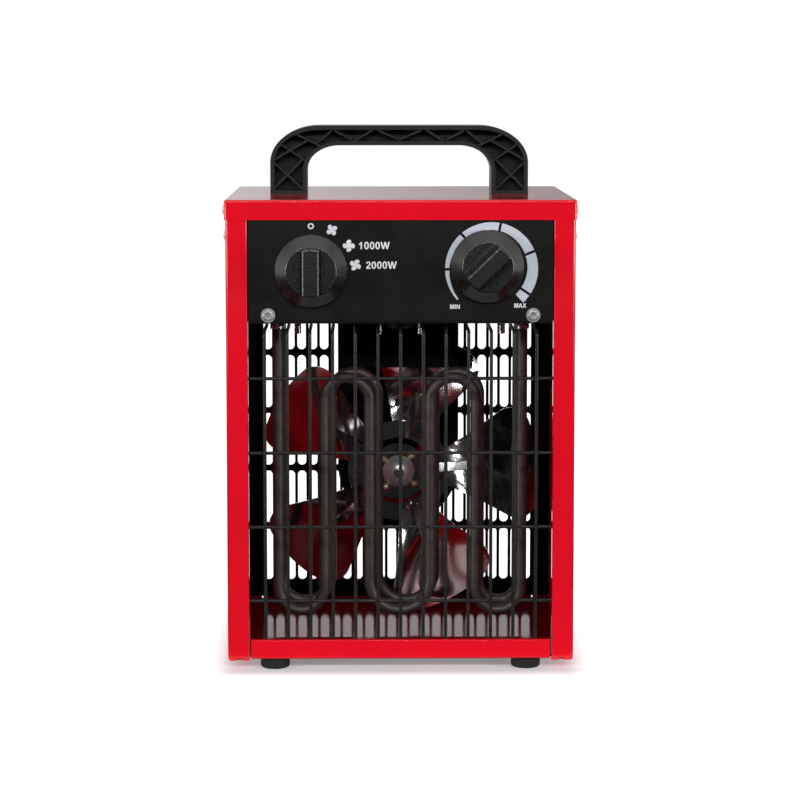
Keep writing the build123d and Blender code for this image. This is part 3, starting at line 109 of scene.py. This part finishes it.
class Finish:
    """A node material in object coordinates, scaled in metres."""

    def __init__(self, name):
        self.material = bpy.data.materials.new(name)
        self.material.use_nodes = True
        self.tree = self.material.node_tree
        self.shader = self.tree.nodes["Principled BSDF"]
        self.place = self.node("ShaderNodeTexCoord").outputs["Object"]

    def node(self, kind, **inputs):
        return fill(self.tree, self.tree.nodes.new(kind), **inputs)

    def surface(self, **inputs):
        fill(self.tree, self.shader, **inputs)

    def stretched(self, scale):
        return self.node("ShaderNodeMapping", vector=self.place, scale=scale).outputs["Vector"]

    def noise(self, scale, detail=3.0, roughness=0.55, place=None):
        place = place or self.place
        node = self.node("ShaderNodeTexNoise", vector=place, scale=scale, detail=detail, roughness=roughness)
        return node.outputs["Fac"]

    def cells(self, scale):
        return self.node("ShaderNodeTexVoronoi", vector=self.place, scale=scale).outputs["Color"]

    def bands(self, scale, direction, distortion=0.0):
        node = self.node("ShaderNodeTexWave", vector=self.place, scale=scale, distortion=distortion)
        node.bands_direction = direction
        return node.outputs["Fac"]

    def parts(self, value):
        return self.node("ShaderNodeSeparateXYZ", vector=value).outputs

    def spread(self, value, low, high, edges=noise_edges, kind="LINEAR"):
        """A number that goes from low to high while the value goes from edge to edge."""
        node = self.node("ShaderNodeMapRange", value=value, to_min=low, to_max=high)
        fill(self.tree, node, from_min=edges[0], from_max=edges[1])
        node.interpolation_type = kind
        return node.outputs["Result"]

    def ramp(self, value, *stops):
        node = self.node("ShaderNodeValToRGB", fac=value)
        elements = node.color_ramp.elements
        while len(elements) < len(stops):
            elements.new(0.5)
        for element, (position, colour) in zip(elements, stops):
            element.position = position
            element.color = (*colour, 1)
        return node.outputs["Color"]

    def clouded(self, low, high, scale, **texture):
        """A number that noise moves between low and high."""
        return self.spread(self.noise(scale, **texture), low, high)

    def mottled(self, base, darker, lighter, scale, edges=noise_edges, **texture):
        """A colour that noise moves between two shares of its base."""
        stops = [(edge, shade(base, share)) for edge, share in zip(edges, (darker, lighter))]
        return self.ramp(self.noise(scale, **texture), *stops)

    def within(self, centre, half):
        """1 inside a box of the object's coordinates, 0 outside it."""
        away = vector(self.tree, "ABSOLUTE", vector(self.tree, "SUBTRACT", self.place, centre))
        beyond = self.parts(vector(self.tree, "SUBTRACT", away, half))
        largest = number(self.tree, "MAXIMUM", beyond["X"], beyond["Y"])
        largest = number(self.tree, "MAXIMUM", largest, beyond["Z"])
        return self.spread(largest, 1.0, 0.0, (-box_edge, box_edge))

    def towards(self, axis):
        """1 where the surface faces along an axis, either way."""
        normal = self.node("ShaderNodeTexCoord").outputs["Normal"]
        facing = number(self.tree, "ABSOLUTE", self.parts(normal)[axis])
        return self.spread(facing, 0.0, 1.0, facing_edges)

    def blend(self, share, first, second):
        node = self.tree.nodes.new("ShaderNodeMix")
        node.data_type = "RGBA"
        fill(self.tree, node, factor=share)
        for socket, value in zip([s for s in node.inputs if s.type == "RGBA"], (first, second)):
            feed(self.tree, socket, value)
        return [s for s in node.outputs if s.type == "RGBA"][0]

    def bump(self, height, strength, distance, under=None):
        node = self.node("ShaderNodeBump", height=height, strength=strength, distance=distance)
        if under:
            fill(self.tree, node, normal=under)
        self.surface(normal=node.outputs["Normal"])
        return node.outputs["Normal"]

    def grain(self, scale, strength, distance, under=None, **texture):
        return self.bump(self.noise(scale, **texture), strength, distance, under)


def coat_red(name, inside_shade=None, level=0.4):
    """Red enamel. Inside the case, shade is painted into its colour: there it is darkened to the given share.
    """
    look = Finish(name)
    red = (0.79, 0.0065, 0.019)
    tone = look.mottled(red, 0.97, 1.03, scale=14.0)
    # Painted shade: inside the case the red is darkened, standing in for the little light that reaches there.
    if inside_shade:
        painted_shade = look.mottled(shade(red, inside_shade), 0.85, 1.15, scale=70.0, detail=5.0)
        tone = look.blend(look.within(*case_inside), tone, painted_shade)
    look.surface(base_color=tone, roughness=look.clouded(0.07, 0.11, scale=60.0), specular_ior_level=level)
    fine = look.grain(5200.0, strength=0.02, distance=0.00002, detail=1.0)
    look.grain(500.0, strength=0.02, distance=0.00003, under=fine, detail=2.0)
    return look.material


def coat_black(name, base, rough, level):
    look = Finish(name)
    look.surface(
        base_color=look.mottled(base, 0.85, 1.2, scale=40.0),
        roughness=look.clouded(rough - 0.05, rough + 0.06, scale=110.0),
        specular_ior_level=level,
    )
    fine = look.grain(7000.0, strength=0.12, distance=0.00003, detail=1.0)
    look.grain(1100.0, strength=0.10, distance=0.00005, under=fine, detail=2.0)
    return look.material


def moulded(name, base, rough, grain, depth, level=0.4, shaded_web=None):
    """Moulded plastic. Inside the given web box, faces that look along y are painted darker: painted shade
    for the recess.
    """
    look = Finish(name)
    tone = look.mottled(base, 0.8, 1.25, scale=55.0, edges=(0.3, 0.72))
    # Painted shade: the recessed web is darkened in colour where the handle shades it.
    if shaded_web:
        inner = number(look.tree, "MULTIPLY", look.within(*shaded_web), look.towards("Y"))
        tone = look.blend(inner, tone, look.mottled(shade(base, 0.22), 1.0, 1.3, scale=80.0))
    look.surface(
        base_color=tone,
        roughness=look.clouded(rough - 0.06, rough + 0.07, scale=grain * 0.4),
        specular_ior_level=level,
    )
    soft = look.grain(grain, strength=0.35, distance=depth, detail=4.0, roughness=0.6)
    look.bump(look.cells(grain * 1.6), strength=0.08, distance=depth, under=soft)
    return look.material


def metal(
    name, base, rough, spread=0.05, cloud=35.0, grain=2600.0, depth=0.00001, strength=0.2,
    brushed=None, share=1.0,
):
    """Metal, brushed where it gets a stretch for its grain. The share is how metallic it is."""
    look = Finish(name)
    place = look.stretched(brushed) if brushed else None
    look.surface(
        base_color=look.mottled(base, 0.9, 1.08, scale=cloud),
        roughness=look.clouded(rough - spread, rough + spread, scale=cloud * 3, place=place),
        metallic=share,
    )
    look.grain(grain, strength=strength, distance=depth, place=place)
    return look.material


def polished():
    look = Finish("polished_aluminium")
    look.surface(
        base_color=look.mottled((0.74, 0.745, 0.75), 0.95, 1.04, scale=30.0),
        roughness=look.clouded(0.07, 0.13, scale=90.0, detail=4.0),
        metallic=1.0,
    )
    rolled = look.grain(900.0, strength=0.10, distance=0.00004, place=look.stretched((1.0, 1.0, 0.12)))
    look.grain(45.0, strength=0.14, distance=0.0008, under=rolled, detail=2.0)
    return look.material


def tube():
    look = Finish("oxidised_tube")
    look.surface(
        base_color=look.ramp(
            look.noise(120.0, detail=5.0, roughness=0.65),
            (0.3, (0.066, 0.055, 0.050)),
            (0.52, (0.092, 0.078, 0.071)),
            (0.72, (0.11, 0.095, 0.087)),
        ),
        roughness=look.clouded(0.44, 0.58, scale=260.0, detail=4.0),
        metallic=0.75,
    )
    fine = look.grain(3500.0, strength=0.25, distance=0.00003)
    look.grain(350.0, strength=0.15, distance=0.0001, under=fine)
    return look.material


def wire():
    look = Finish("coated_wire")
    look.surface(
        base_color=look.mottled((0.0135, 0.0132, 0.0125), 0.75, 1.3, scale=90.0, detail=4.0),
        roughness=look.clouded(0.26, 0.38, scale=300.0),
        specular_ior_level=0.32,
    )
    look.grain(2200.0, strength=0.2, distance=0.00003)
    return look.material


def zinc():
    look = Finish("zinc_sheet")
    look.surface(
        base_color=look.ramp(look.cells(260.0), (0.0, (0.44, 0.45, 0.46)), (1.0, (0.60, 0.61, 0.62))),
        roughness=look.clouded(0.26, 0.42, scale=150.0, detail=4.0),
        metallic=1.0,
    )
    look.grain(1500.0, strength=0.15, distance=0.00002)
    return look.material


def fired_clay():
    look = Finish("ceramic")
    look.surface(
        base_color=look.ramp(
            look.noise(900.0, detail=5.0, roughness=0.7),
            (0.28, (0.55, 0.50, 0.42)),
            (0.4, (0.80, 0.77, 0.70)),
            (0.8, (0.85, 0.83, 0.77)),
        ),
        roughness=look.clouded(0.55, 0.75, scale=400.0),
    )
    look.grain(2500.0, strength=0.3, distance=0.00006, detail=4.0)
    return look.material


def wound_copper():
    look = Finish("wound_copper")
    strands = look.bands(500.0, "DIAGONAL", distortion=1.5)
    look.surface(
        base_color=look.ramp(strands, (0.0, (0.30, 0.09, 0.03)), (0.6, (0.78, 0.36, 0.16))),
        roughness=look.clouded(0.22, 0.36, scale=300.0),
        metallic=0.9,
    )
    look.bump(strands, strength=0.6, distance=0.0002)
    return look.material


def laminated():
    look = Finish("laminated_steel")
    layers = look.bands(310.0, "Y")
    look.surface(
        base_color=look.ramp(layers, (0.1, (0.14, 0.14, 0.145)), (0.5, (0.40, 0.40, 0.41))),
        roughness=look.clouded(0.35, 0.5, scale=200.0),
        metallic=1.0,
    )
    look.bump(layers, strength=0.5, distance=0.0001)
    return look.material


def ink(name, base):
    look = Finish(name)
    look.surface(
        base_color=look.mottled(base, 0.93, 1.03, scale=1400.0, edges=(0.3, 0.65)),
        roughness=look.clouded(0.42, 0.55, scale=300.0),
    )
    look.grain(4000.0, strength=0.1, distance=0.00002, detail=2.0)
    return look.material


grey_steel = (0.66, 0.66, 0.665)
finishes = {
    coat_red("red_coat"): ["top_cover"],
    # The side panels and the floor get painted shade inside the case, the floor more than the sides.
    coat_red("red_side_coat", inside_shade=0.68): ["side_panel_left", "side_panel_right"],
    coat_red("red_floor_coat", inside_shade=0.26, level=0.15): ["bottom_panel"],
    coat_black("black_coat", (0.0080, 0.0078, 0.0084), rough=0.36, level=0.15): ["control_panel"],
    coat_black("black_rear_coat", (0.0018, 0.0018, 0.0019), rough=0.45, level=0.06): [
        "rear_panel", "motor_bracket", "heat_shield", "deck", "rear_screws",
    ],
    moulded("knob_plastic", (0.005, 0.005, 0.0054), rough=0.29, grain=2400.0, depth=0.000006, level=0.85): [
        "selector_knob", "thermostat_knob",
    ],
    # The handle's web gets painted shade.
    moulded(
        "handle_plastic", (0.010, 0.010, 0.0103), rough=0.46, grain=1700.0, depth=0.00008, level=0.25,
        shaded_web=handle_web,
    ): ["handle"],
    moulded("inner_plastic", (0.018, 0.018, 0.018), rough=0.5, grain=1500.0, depth=0.00006): [
        "selector_switch", "thermostat_body", "thermal_cutout", "cable_gland", "gland_nut", "terminal_block",
    ],
    moulded("foot_rubber", (0.011, 0.011, 0.011), rough=0.72, grain=1300.0, depth=0.0001, level=0.25): [
        "foot_front_left", "foot_front_right", "foot_rear_left", "foot_rear_right",
    ],
    tube(): ["front_element", "rear_element"],
    wire(): ["front_grille"],
    polished(): ["fan_blades", "fan_hub"],
    zinc(): ["cutout_strap"],
    metal("zinc_steel", (0.60, 0.605, 0.61), rough=0.27): [
        "element_sleeves", "element_nuts", "element_terminals", "connector_bolts", "connector_nuts",
        "cutout_screws", "cutout_nuts", "bracket_bolts", "bracket_nuts", "motor_screws", "control_screws",
        "terminal_screws", "handle_screws", "foot_screws", "thermostat_blades",
    ],
    metal("bright_screw", (0.50, 0.505, 0.51), rough=0.36, spread=0.04, cloud=60.0, share=0.7): [
        "panel_screws", "case_screws", "side_rivet",
    ],
    metal("satin_cap", grey_steel, rough=0.34, spread=0.04, cloud=60.0, share=0.7): ["fan_cap"],
    metal(
        "turned_steel", grey_steel, rough=0.22, cloud=50.0, grain=3000.0, depth=0.00002, strength=0.3,
        brushed=(1.0, 6.0, 1.0),
    ): ["selector_shaft", "thermostat_shaft", "motor_shaft"],
    metal("motor_sheet", (0.42, 0.43, 0.44), rough=0.34, spread=0.06, cloud=45.0, grain=1800.0): [
        "motor_cover", "motor_can",
    ],
    metal("rivet_brass", (0.74, 0.60, 0.42), rough=0.28): ["fan_rivets"],
    metal("bush_bronze", (0.55, 0.40, 0.22), rough=0.36): ["front_bush", "rear_bush"],
    fired_clay(): ["element_connectors"],
    wound_copper(): ["stator_windings"],
    laminated(): ["stator_core", "rotor"],
}
for material, members in finishes.items():
    for member in members:
        slots = nodes[member].data.materials
        slots.clear()
        slots.append(material)

white_ink = ink("white_ink", (0.82, 0.83, 0.85))
blue_ink = ink("grey_blue_ink", (0.56, 0.61, 0.68))
lilac_ink = ink("lilac_ink", (0.66, 0.67, 0.74))

# The control panel's front, and how far the print stands before it.
panel_y = -0.077
print_proud = 0.00004


def loops(outline):
    """The loops of an outline, which is one loop of points, or a pair of loops for a ring."""
    return outline if isinstance(outline, tuple) else (outline,)


def printed(name, outlines, material):
    """Flat print on the control panel, from outlines in x and z."""
    mesh = bpy.data.meshes.new(name)
    shape = bmesh.new()
    for outline in outlines:
        rims = [[shape.verts.new((x, panel_y - print_proud, z)) for x, z in loop] for loop in loops(outline)]
        if len(rims) == 1:
            shape.faces.new(rims[0])
            continue
        outer, inner = rims
        for index in range(len(outer)):
            after = (index + 1) % len(outer)
            shape.faces.new((outer[index], outer[after], inner[after], inner[index]))
    bmesh.ops.recalc_face_normals(shape, faces=shape.faces)
    for face in shape.faces:
        if face.normal.y > 0:
            face.normal_flip()
    shape.to_mesh(mesh)
    shape.free()
    mesh.materials.append(material)
    piece = bpy.data.objects.new(name, mesh)
    scene.collection.objects.link(piece)
    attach(piece, "housing")


def around(centre, radius, clockwise):
    """A point at an angle in degrees, clockwise from the top."""
    angle = math.radians(clockwise)
    return (centre[0] + radius * math.sin(angle), centre[1] + radius * math.cos(angle))


# The thermostat's scale is an arc that widens clockwise and is cut by gaps. The angles are in degrees, and
# arc_widths gives the width in millimetres at each angle.
scale_centre = (0.0518, 0.2336)
arc_radius = 0.0265
arc_ends = (-132.5, 137.0)
arc_gaps = (-90.8, -41.1, 11.3, 67.6, 124.1)
gap_width = 0.0015
arc_widths = (
    (-133.5, 0.95), (-91.0, 2.45), (-41.0, 3.65), (9.0, 4.5), (68.0, 5.8), (125.0, 6.4), (137.0, 6.4),
)
segment_steps = 40


def arc_width(angle):
    for (low, narrow), (high, wide) in zip(arc_widths, arc_widths[1:]):
        if angle <= high:
            return (narrow + (wide - narrow) * (angle - low) / (high - low)) / 1000
    return arc_widths[-1][1] / 1000


def arc_segments():
    """The outlines of the arc's segments, trimmed beside the gaps."""
    edges = [arc_ends[0], *[angle for gap in arc_gaps for angle in (gap, gap)], arc_ends[1]]
    for index in range(0, len(edges), 2):
        start, stop = edges[index], edges[index + 1]
        outer, inner = [], []
        for step in range(segment_steps + 1):
            share = step / segment_steps
            width = arc_width(start + (stop - start) * share)
            for loop, radius in ((outer, arc_radius), (inner, arc_radius - width)):
                trim = math.degrees(gap_width / 2 / radius)
                low = start + (trim if index else 0)
                high = stop - (trim if index + 2 < len(edges) else 0)
                loop.append(around(scale_centre, radius, low + (high - low) * share))
        yield outer + inner[::-1]


ring_points = 64


def ring(centre, outer, inner):
    turns = [360 * index / ring_points for index in range(ring_points)]
    return tuple([around(centre, radius, turn) for turn in turns] for radius in (outer, inner))


# A fan mark's blades: the middle of the round end, the notches and the place that leans neither way, as
# shares of the mark's radius, the share of the round end that is drawn, and the lean in degrees per radius.
blade_middle = 0.60
blade_notch = 0.36
blade_upright = 0.8
blade_end = 0.96
blade_lean = 26.0
blade_points = 25
mark_blades = 4


def fan_mark(centre, radius, turn):
    """A small fan: round-ended blades that lean a little and meet in notches."""
    middle = radius * blade_middle
    end = radius - middle
    widest = math.degrees(math.asin(end / middle)) * blade_end
    notch = radius * blade_notch
    points = []
    for step in range(blade_points):
        angle = -widest + 2 * widest * step / (blade_points - 1)
        across = math.radians(angle)
        rise = math.sqrt(max(0.0, end**2 - (middle * math.sin(across)) ** 2))
        points.append((angle, middle * math.cos(across) + rise))
    loop = []
    for blade in range(mark_blades):
        axis = turn + 360 / mark_blades * blade
        for angle, reach in [(-widest, notch), *points, (widest, notch)]:
            lean = blade_lean * (reach / radius - blade_upright)
            loop.append(around(centre, reach, axis + angle + lean))
    return loop


oval_points = 40
oval_power = 2.3


def oval(left, right, bottom, top):
    """A loop a little squarer than an ellipse."""
    loop = []
    for index in range(oval_points):
        angle = 2 * math.pi * index / oval_points
        ways = (math.sin(angle), math.cos(angle))
        across, up = [math.copysign(abs(way) ** (2 / oval_power), way) for way in ways]
        loop.append(((left + right + (right - left) * across) / 2, (bottom + top + (top - bottom) * up) / 2))
    return loop


# Capitals and figures one unit high: the step to the next letter, then the outlines.
letters = {
    "0": (0.777, [(oval(0.06, 0.71, -0.015, 1.015), oval(0.255, 0.515, 0.15, 0.85))]),
    "1": (0.777, [[
        (0.335, 0), (0.53, 0), (0.53, 1), (0.375, 1), (0.32, 0.88), (0.22, 0.78), (0.10, 0.72), (0.10, 0.55),
        (0.23, 0.60), (0.335, 0.68),
    ]]),
    "2": (0.777, [[
        (0.06, 0), (0.71, 0), (0.71, 0.18), (0.34, 0.18), (0.40, 0.25), (0.52, 0.36), (0.64, 0.48),
        (0.70, 0.60), (0.71, 0.72), (0.68, 0.86), (0.58, 0.97), (0.40, 1.01), (0.23, 0.98), (0.12, 0.88),
        (0.08, 0.72), (0.27, 0.70), (0.30, 0.80), (0.37, 0.85), (0.46, 0.84), (0.51, 0.78), (0.52, 0.70),
        (0.48, 0.60), (0.38, 0.49), (0.22, 0.34), (0.11, 0.19),
    ]]),
    "W": (1.318, [[
        (0.28, 0), (0, 1), (0.21, 1), (0.385, 0.31), (0.55, 1), (0.76, 1), (0.93, 0.31), (1.10, 1), (1.31, 1),
        (1.03, 0), (0.82, 0), (0.655, 0.66), (0.49, 0),
    ]]),
    "M": (1.14, [[
        (0.09, 0), (0.09, 1), (0.39, 1), (0.58, 0.32), (0.77, 1), (1.07, 1), (1.07, 0), (0.88, 0),
        (0.88, 0.78), (0.675, 0), (0.485, 0), (0.28, 0.78), (0.28, 0),
    ]]),
    "I": (0.38, [[(0.09, 0), (0.29, 0), (0.29, 1), (0.09, 1)]]),
    "N": (0.97, [[
        (0.09, 0), (0.09, 1), (0.29, 1), (0.69, 0.34), (0.69, 1), (0.88, 1), (0.88, 0), (0.68, 0),
        (0.28, 0.66), (0.28, 0),
    ]]),
    "A": (1.0, [
        [(0, 0), (0.215, 0), (0.495, 0.765), (0.495, 1), (0.385, 1)],
        [(1, 0), (0.605, 1), (0.495, 1), (0.495, 0.765), (0.78, 0)],
        [(0.297, 0.225), (0.697, 0.225), (0.633, 0.395), (0.36, 0.395)],
    ]),
    "X": (0.93, [[
        (0, 0), (0.34, 0.52), (0.03, 1), (0.27, 1), (0.47, 0.68), (0.66, 1), (0.90, 1), (0.59, 0.51),
        (0.93, 0), (0.68, 0), (0.465, 0.36), (0.25, 0),
    ]]),
}


def mapped(outline, change):
    """An outline with each of its points changed."""
    if isinstance(outline, tuple):
        return tuple(mapped(loop, change) for loop in outline)
    return [change(x, z) for x, z in outline]


def word(name, text, box, material):
    """Lettering in a box of the panel's front, given as its left, bottom, right and top in millimetres."""
    outlines = []
    cursor = 0.0
    for letter in text:
        step, shapes = letters[letter]
        outlines += [mapped(shape, lambda x, z, start=cursor: (start + x, z)) for shape in shapes]
        cursor += step
    across = [x for outline in outlines for loop in loops(outline) for x, z in loop]
    low = min(across)
    width = max(across) - low
    left, bottom, right, top = [value / 1000 for value in box]

    def placed(x, z):
        return (left + (right - left) * (x - low) / width, bottom + (top - bottom) * z)

    printed(name, [mapped(outline, placed) for outline in outlines], material)


printed("scale_print", arc_segments(), blue_ink)
printed("off_mark", [ring((-0.05110, 0.25795), outer=0.00178, inner=0.00095)], lilac_ink)
printed("fan_mark_off_heat", [fan_mark((-0.03915, 0.25573), radius=0.0033, turn=57.0)], lilac_ink)
printed("fan_mark_low_heat", [fan_mark((-0.02956, 0.24667), radius=0.0035, turn=1.0)], white_ink)
printed("fan_mark_full_heat", [fan_mark((-0.02581, 0.23580), radius=0.0034, turn=27.0)], white_ink)
word("low_heat_word", "1000W", (-23.8, 244.8, -6.2, 248.95), white_ink)
word("full_heat_word", "2000W", (-19.8, 233.6, -2.2, 237.75), white_ink)
word("low_scale_word", "MIN", (28.2, 210.6, 33.7, 213.15), white_ink)
word("full_scale_word", "MAX", (64.8, 211.2, 71.7, 213.75), white_ink)


# Half the size of the case's footprint, how far from it the floor keeps a shadow, and how brightly the floor
# glows under the case and past that shadow, where 1 is white.
footprint = (0.093, 0.074, 0.0)
shadow_reach = 0.028
floor_glow = (0.22, 1.0)


def pale_floor():
    """A pale floor that the camera and mirrors see lighter the farther it is from the object."""
    look = Finish("pale_floor")
    beyond = vector(look.tree, "SUBTRACT", vector(look.tree, "ABSOLUTE", look.place), footprint)
    outside = vector(look.tree, "MAXIMUM", beyond, (0.0, 0.0, 0.0))
    distance = vector(look.tree, "LENGTH", outside, result="Value")
    glow = look.spread(distance, *floor_glow, (0.0, shadow_reach), "SMOOTHSTEP")
    pale = (0.90, 0.90, 0.90)
    look.surface(
        base_color=look.mottled(pale, 0.99, 1.0, scale=40.0, edges=(0.0, 1.0), detail=2.0, roughness=0.5),
        roughness=0.9,
        specular_ior_level=0.0,
        emission_color=white,
        emission_strength=number(look.tree, "MULTIPLY", seen_rays(look.tree), glow),
    )
    return look.material


def graded_grey(edges, levels):
    """A grey that only glows, from one level at the first edge in x to the other at the second."""
    look = Finish("graded_grey")
    look.surface(
        base_color=(0, 0, 0, 1),
        specular_ior_level=0.0,
        emission_color=white,
        emission_strength=look.spread(look.parts(look.place)["X"], *levels, edges),
    )
    return look.material


def flat_piece(name, material, half, segments):
    """A flat piece of the stage that faces up, given as half its sizes."""
    mesh = bpy.data.meshes.new(name)
    shape = bmesh.new()
    bmesh.ops.create_grid(shape, x_segments=segments, y_segments=segments, size=1.0)
    bmesh.ops.scale(shape, vec=(*half, 1.0), verts=shape.verts)
    shape.to_mesh(mesh)
    shape.free()
    mesh.materials.append(material)
    piece = bpy.data.objects.new(name, mesh)
    scene.collection.objects.link(piece)
    return piece


def add_card(name, material, half, place, tilt=0, turn=0, segments=4):
    """A card that only lights and mirrors see."""
    card = flat_piece(name, material, half, segments)
    card.location = place
    card.rotation_euler = (math.radians(tilt), 0, math.radians(turn))
    card.visible_camera = False
    card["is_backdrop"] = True


floor = flat_piece("floor", pale_floor(), half=(6.0, 6.0), segments=8)
floor.location = (0, 0, -0.0002)
floor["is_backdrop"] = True

# Dark cards before and beside the object, and a grey one far behind it, lighter at the left, that only the
# cover's mirror image shows.
dark_cloth = moulded("dark_cloth", (0.02, 0.02, 0.02), rough=0.9, grain=300.0, depth=0.0005, level=0.0)
add_card("dark_side", dark_cloth, half=(2.0, 2.5), place=(0, -2.3, 2.51), tilt=90)
add_card("dark_table", dark_cloth, half=(1.5, 1.1), place=(0, -1.208, 0.001))
for side, sign in sides:
    add_card(f"dark_{side}", dark_cloth, half=(0.9, 1.5), place=(sign * 2.0, -1.4, 1.51), tilt=90, turn=90)
    add_card(f"table_{side}", dark_cloth, half=(0.5, 0.2), place=(sign * 0.63, 0.093, 0.001))
grey = graded_grey(edges=(-0.33, 0.46), levels=(0.68, 0.34))
add_card("grey_back", grey, half=(2.0, 0.31), place=(0, 4.0, 0.311), tilt=90, segments=1)

# The world is white to the camera and in mirrors, and lights the object only a little.
sky_light = 0.08
world = bpy.data.worlds.new("studio")
scene.world = world
world.use_nodes = True
sky = world.node_tree
level = fill(sky, sky.nodes.new("ShaderNodeMapRange"), value=seen_rays(sky), to_min=sky_light, to_max=1.0)
fill(sky, sky.nodes["Background"], color=white, strength=level.outputs["Result"])

lamp_target = Vector((0, 0, 0.15))


def add_lamp(name, place, size, power):
    light = bpy.data.lights.new(name, "AREA")
    light.shape = "RECTANGLE"
    light.size, light.size_y = size
    light.energy = power
    holder = bpy.data.objects.new(name, light)
    holder.location = place
    holder.rotation_euler = (lamp_target - Vector(place)).to_track_quat("-Z", "Y").to_euler()
    scene.collection.objects.link(holder)


add_lamp("key", place=(0.0, -1.84, 0.90), size=(2.2, 0.2), power=22.5)
for side, sign in sides:
    add_lamp(f"side_{side}", place=(sign * 1.55, -0.95, 0.32), size=(0.7, 0.5), power=14.5)
for side, sign in sides:
    add_lamp(f"back_{side}", place=(sign * 1.6, 1.3, 0.40), size=(0.9, 0.6), power=7.0)

# How far the camera looks down and to the left, in degrees.
camera_down = 5.8394
camera_left = -0.7398
camera_data = bpy.data.cameras.new("camera")
camera_data.sensor_width = 36.0
camera_data.lens = 109.127
camera_data.shift_y = -0.10
camera_data.clip_start = 0.05
camera = bpy.data.objects.new("camera", camera_data)
camera.location = (-0.0182, -1.454, 0.3451)
camera.rotation_euler = (math.radians(90 - camera_down), 0, math.radians(camera_left))
scene.collection.objects.link(camera)
bpy.context.scene.camera = camera
bpy.context.scene.view_settings.view_transform = "Standard"

dressed_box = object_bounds()
sizes = {"cad": cad_box, "visual": dressed_box}
sizes = {key: [[float(value) for value in corner] for corner in box] for key, box in sizes.items()}
